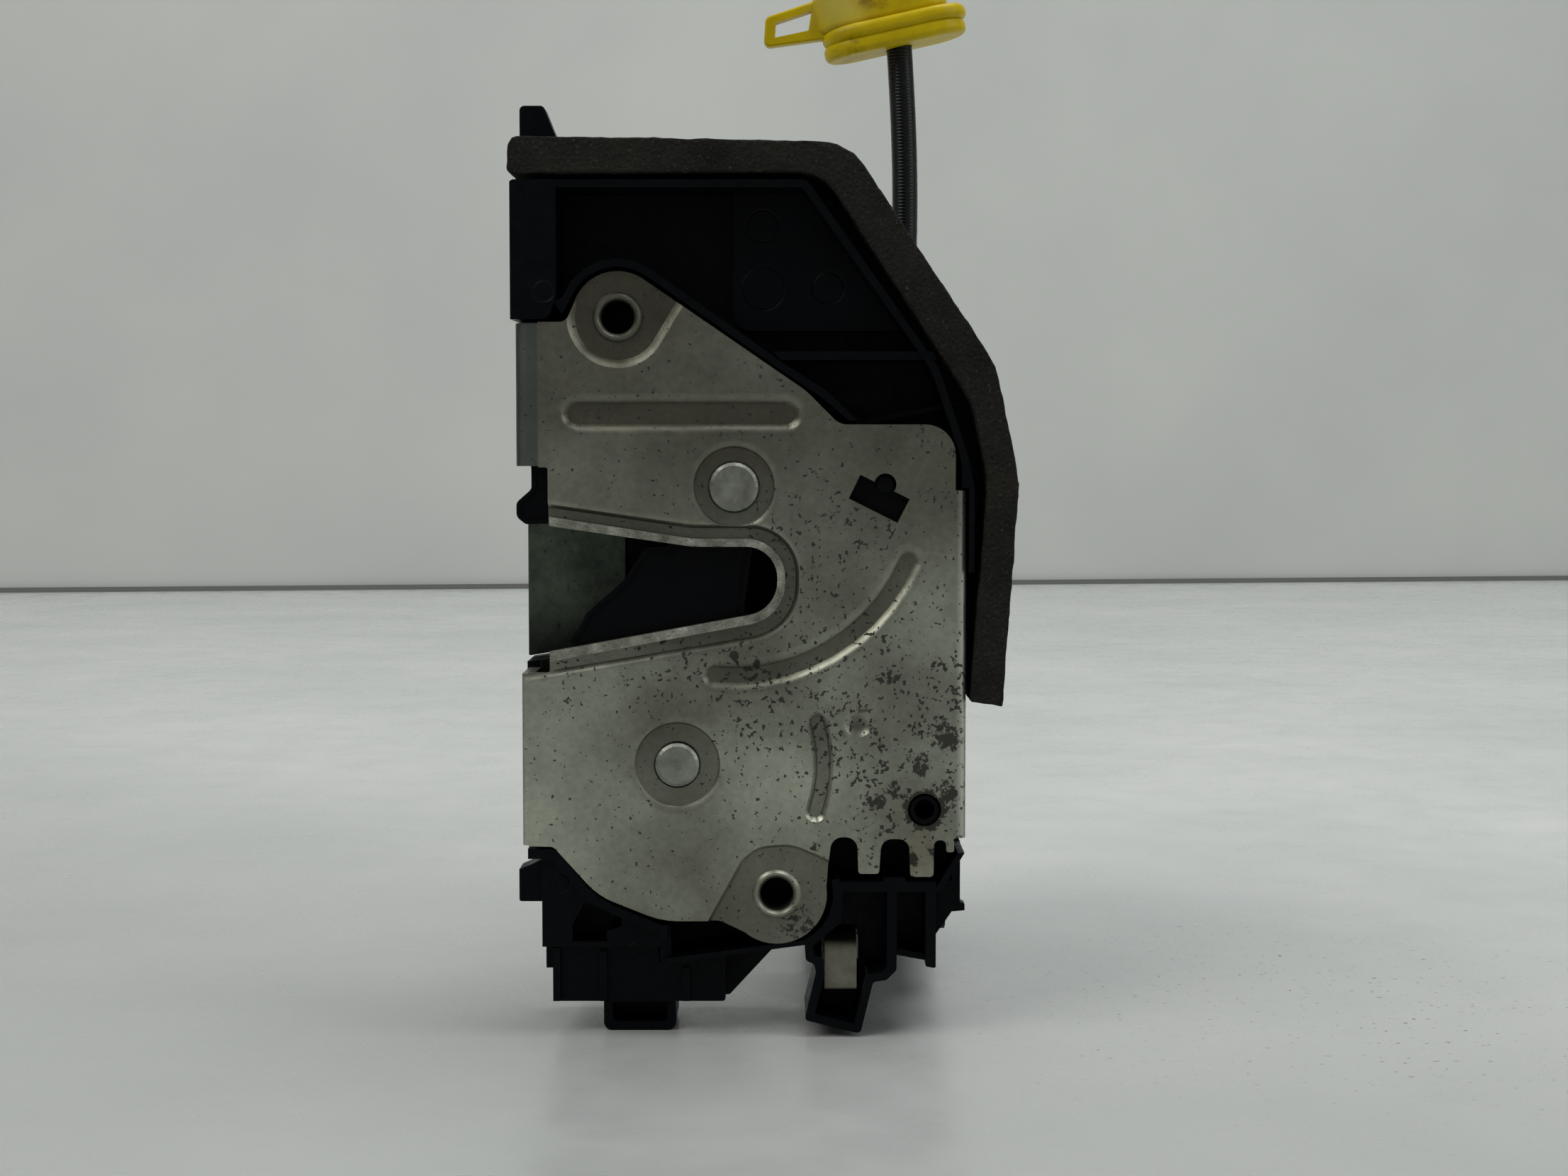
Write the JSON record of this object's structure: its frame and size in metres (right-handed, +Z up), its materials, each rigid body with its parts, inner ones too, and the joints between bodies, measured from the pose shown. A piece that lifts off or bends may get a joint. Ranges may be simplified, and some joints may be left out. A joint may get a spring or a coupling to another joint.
{
  "type": "car door lock",
  "caption": "Car door lock: rotary catch and pawl behind a pressed steel plate, moulded case with foam seal, motor drive behind and a short handle cable.",
  "frame": {"origin": "centre of the lock's footprint, at the level it stands on", "axes": "+X to the right along the face plate, +Y back into the door, +Z up"},
  "size_m": [0.0837, 0.1006, 0.2145],
  "materials": {
    "zinc_plated_steel": "zinc plated, weathered",
    "hardened_steel": "plain steel",
    "rivet_steel": "upset rivet head",
    "black_pbt": "moulded, satin",
    "black_pom": "moulded, satin",
    "foam_rubber": "open cell foam",
    "black_rubber": "moulded rubber",
    "natural_nylon": "unpigmented moulding",
    "yellow_pom": "moulded, satin",
    "brass": "turned or stamped"
  },
  "bodies": {
    "lock": {"lock_plate": "zinc_plated_steel", "back_plate": "zinc_plated_steel", "catch_pivot": "rivet_steel", "pawl_pivot": "rivet_steel", "release_pivot": "rivet_steel", "catch_spring": "hardened_steel", "pawl_spring": "hardened_steel", "catch_switch": "black_pom", "pawl_switch": "black_pom", "striker_guard": "zinc_plated_steel", "throat_bumper": "black_rubber", "lock_case": "black_pbt", "foam_seal": "foam_rubber", "rear_bush": "black_pom", "connector_box": "black_pbt", "connector_header": "brass", "actuator_case": "black_pom", "actuator_cover": "black_pom", "cover_screw_1": "hardened_steel", "cover_screw_2": "hardened_steel", "cover_screw_3": "hardened_steel", "cover_screw_4": "hardened_steel", "case_screw_1": "hardened_steel", "case_screw_2": "hardened_steel", "lock_motor": "hardened_steel", "wheel_axle": "hardened_steel", "lock_lever_axle": "hardened_steel", "outside_lever_axle": "hardened_steel", "inside_lever_axle": "hardened_steel", "cable_ferrule": "black_rubber", "cable_sheath": "black_pbt", "cable_fitting": "yellow_pom", "cable_nipple": "hardened_steel"},
    "catch": {"catch_core": "hardened_steel", "catch_jacket": "black_pbt"},
    "pawl": {"pawl": "hardened_steel"},
    "release_lever": {"release_lever": "hardened_steel"},
    "outside_handle_lever": {"outside_handle_lever": "natural_nylon"},
    "inside_handle_lever": {"inside_handle_lever": "hardened_steel"},
    "worm_wheel": {"worm_wheel": "natural_nylon"},
    "worm": {"worm": "brass"},
    "lock_lever": {"lock_lever": "natural_nylon"}
  },
  "joints": [
    {"name": "catch_turn", "type": "hinge", "parent": "lock", "child": "catch", "pos_m": [-0.00495, -0.0442, 0.0915], "axis": [0, -1, 0], "range_deg": [0, 68]},
    {"name": "pawl_turn", "type": "hinge", "parent": "lock", "child": "pawl", "pos_m": [-0.01435, -0.0442, 0.0457], "axis": [0, -1, 0], "range_deg": [0, 12]},
    {"name": "release_turn", "type": "hinge", "parent": "lock", "child": "release_lever", "pos_m": [-0.00295, -0.0443, 0.0335], "axis": [0, -1, 0], "range_deg": [0, 6]},
    {"name": "outside_lever_turn", "type": "hinge", "parent": "lock", "child": "outside_handle_lever", "pos_m": [0.01305, -0.0297, 0.0165], "axis": [1, 0, 0], "range_deg": [0, 12]},
    {"name": "inside_lever_turn", "type": "hinge", "parent": "lock", "child": "inside_handle_lever", "pos_m": [0.00505, 0.0103, 0.0715], "axis": [1, 0, 0], "range_deg": [0, 30]},
    {"name": "wheel_turn", "type": "hinge", "parent": "lock", "child": "worm_wheel", "pos_m": [0.01905, 0.0058, 0.0685], "axis": [1, 0, 0], "range_deg": [0, 70]},
    {"name": "worm_turn", "type": "hinge", "parent": "lock", "child": "worm", "pos_m": [0.01905, -0.0147, 0.0685], "axis": [0, 0, 1], "range_deg": [0, 2100]},
    {"name": "lock_lever_turn", "type": "hinge", "parent": "lock", "child": "lock_lever", "pos_m": [0.02305, 0.0263, 0.0415], "axis": [1, 0, 0], "range_deg": [-28, 0]}
  ],
  "couplings": [
    {"joint": "release_turn", "follows": "pawl_turn", "ratio": 0.5},
    {"joint": "worm_turn", "follows": "wheel_turn", "ratio": 30},
    {"joint": "lock_lever_turn", "follows": "wheel_turn", "ratio": -0.4}
  ]
}
